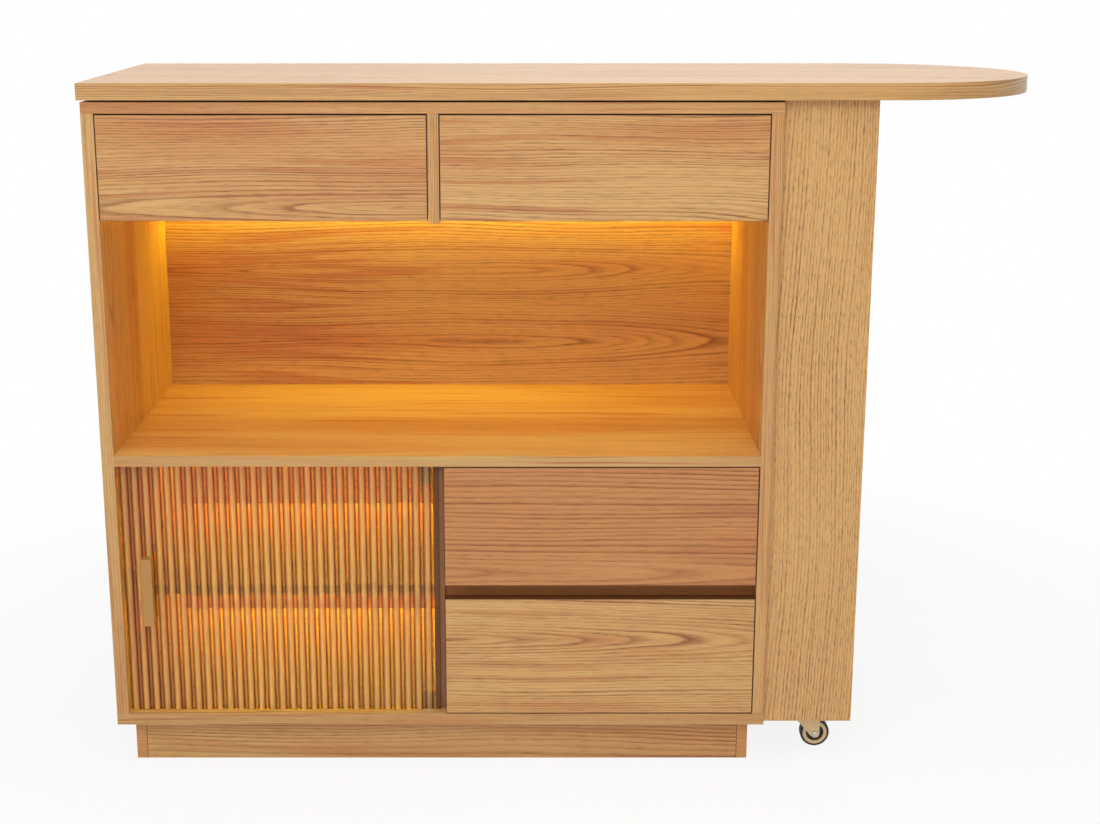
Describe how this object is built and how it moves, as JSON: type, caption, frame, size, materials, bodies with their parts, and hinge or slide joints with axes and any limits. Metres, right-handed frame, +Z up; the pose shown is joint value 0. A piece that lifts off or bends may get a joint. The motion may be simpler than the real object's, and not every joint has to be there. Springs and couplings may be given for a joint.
{
  "type": "bar cabinet",
  "caption": "Lit oak bar cabinet with drawers, open niche and ribbed glass door, and a round-ended bar table on a castored leg that slides out over it.",
  "frame": {"origin": "on the floor under the middle of the whole object's box, with the bar table pushed in", "axes": "+X to the right along the bar, towards its round end; +Y to the back; +Z up; the front with the drawers and door faces -Y"},
  "size_m": [1.3994, 0.474, 1.0495],
  "materials": {
    "oak": "oiled, horizontal grain",
    "oak_upright": "oiled, upright grain",
    "oak_dark": "dark stained",
    "drawer_ply": "plain birch ply",
    "rail_steel": "zinc plated",
    "track_aluminium": "anodised",
    "diffuser": "lit, warm white",
    "ribbed_glass": "clear, ribbed on the front",
    "brass_satin": "satin",
    "nylon": "moulded",
    "black_plastic": "moulded",
    "white_plastic": "moulded",
    "castor_metal": "cream paint",
    "axle_steel": "plated",
    "tyre": "smooth rubber"
  },
  "bodies": {
    "cabinet": {"side_panel_left": "oak_upright", "side_panel_right": "oak_upright", "carcass_top": "oak", "carcass_bottom": "oak", "middle_shelf": "oak", "upper_divider": "oak_upright", "lower_divider": "oak_upright", "door_stop_strip": "oak_dark", "niche_ceiling": "oak", "back_panel": "oak", "plinth_ends": "oak", "plinth_rails": "oak", "inner_shelf": "oak", "shelf_pins": "rail_steel", "finger_rail": "oak_dark", "light_channels": "track_aluminium", "light_diffusers": "diffuser", "light_driver": "white_plastic", "supply_socket": "black_plastic", "light_cable": "black_plastic", "pivot_bushes": "nylon", "cabinet_rails": "rail_steel", "guide_tracks": "track_aluminium"},
    "glass_door": {"door_glass": "ribbed_glass", "door_handle": "brass_satin", "door_pivots": "brass_satin"},
    "upper_left_drawer": {"upper_left_front": "oak", "upper_left_box": "drawer_ply", "upper_left_bottom": "drawer_ply", "upper_left_runners": "rail_steel"},
    "upper_right_drawer": {"upper_right_front": "oak", "upper_right_box": "drawer_ply", "upper_right_bottom": "drawer_ply", "upper_right_runners": "rail_steel"},
    "lower_top_drawer": {"lower_top_front": "oak", "lower_top_box": "drawer_ply", "lower_top_bottom": "drawer_ply", "lower_top_runners": "rail_steel"},
    "lower_bottom_drawer": {"lower_bottom_front": "oak", "lower_bottom_box": "drawer_ply", "lower_bottom_bottom": "drawer_ply", "lower_bottom_runners": "rail_steel"},
    "bar_table": {"bar_top": "oak", "guide_shoes": "black_plastic", "leg_front": "oak_upright", "leg_back": "oak_upright", "leg_outer": "oak_upright", "leg_inner": "oak_upright", "leg_bottom": "oak_upright", "leg_cleat": "oak_upright", "castor_plates": "castor_metal"},
    "front_castor": {"front_castor_fork": "castor_metal", "front_castor_axle": "axle_steel"},
    "front_wheel": {"front_castor_wheel": "castor_metal", "front_castor_tyre": "tyre"},
    "rear_castor": {"rear_castor_fork": "castor_metal", "rear_castor_axle": "axle_steel"},
    "rear_wheel": {"rear_castor_wheel": "castor_metal", "rear_castor_tyre": "tyre"}
  },
  "joints": [
    {"name": "bar_slide", "type": "slide", "parent": "cabinet", "child": "bar_table", "axis": [1, 0, 0], "range_m": [0, 0.7]},
    {"name": "front_castor_swivel", "type": "hinge", "parent": "bar_table", "child": "front_castor", "pos_m": [0.37375, -0.15, 0.06], "axis": [0, 0, 1], "continuous": true},
    {"name": "front_wheel_roll", "type": "hinge", "parent": "front_castor", "child": "front_wheel", "pos_m": [0.39675, -0.15, 0.023], "axis": [0, 1, 0], "continuous": true},
    {"name": "rear_castor_swivel", "type": "hinge", "parent": "bar_table", "child": "rear_castor", "pos_m": [0.37375, 0.155, 0.06], "axis": [0, 0, 1], "continuous": true},
    {"name": "rear_wheel_roll", "type": "hinge", "parent": "rear_castor", "child": "rear_wheel", "pos_m": [0.39675, 0.155, 0.023], "axis": [0, 1, 0], "continuous": true},
    {"name": "upper_left_slide", "type": "slide", "parent": "cabinet", "child": "upper_left_drawer", "axis": [0, -1, 0], "range_m": [0, 0.3]},
    {"name": "upper_right_slide", "type": "slide", "parent": "cabinet", "child": "upper_right_drawer", "axis": [0, -1, 0], "range_m": [0, 0.3]},
    {"name": "lower_top_slide", "type": "slide", "parent": "cabinet", "child": "lower_top_drawer", "axis": [0, -1, 0], "range_m": [0, 0.3]},
    {"name": "lower_bottom_slide", "type": "slide", "parent": "cabinet", "child": "lower_bottom_drawer", "axis": [0, -1, 0], "range_m": [0, 0.3]},
    {"name": "door_hinge", "type": "hinge", "parent": "cabinet", "child": "glass_door", "pos_m": [-0.21375, -0.216, 0.28675], "axis": [0, 0, 1], "range_deg": [0, 90]}
  ]
}
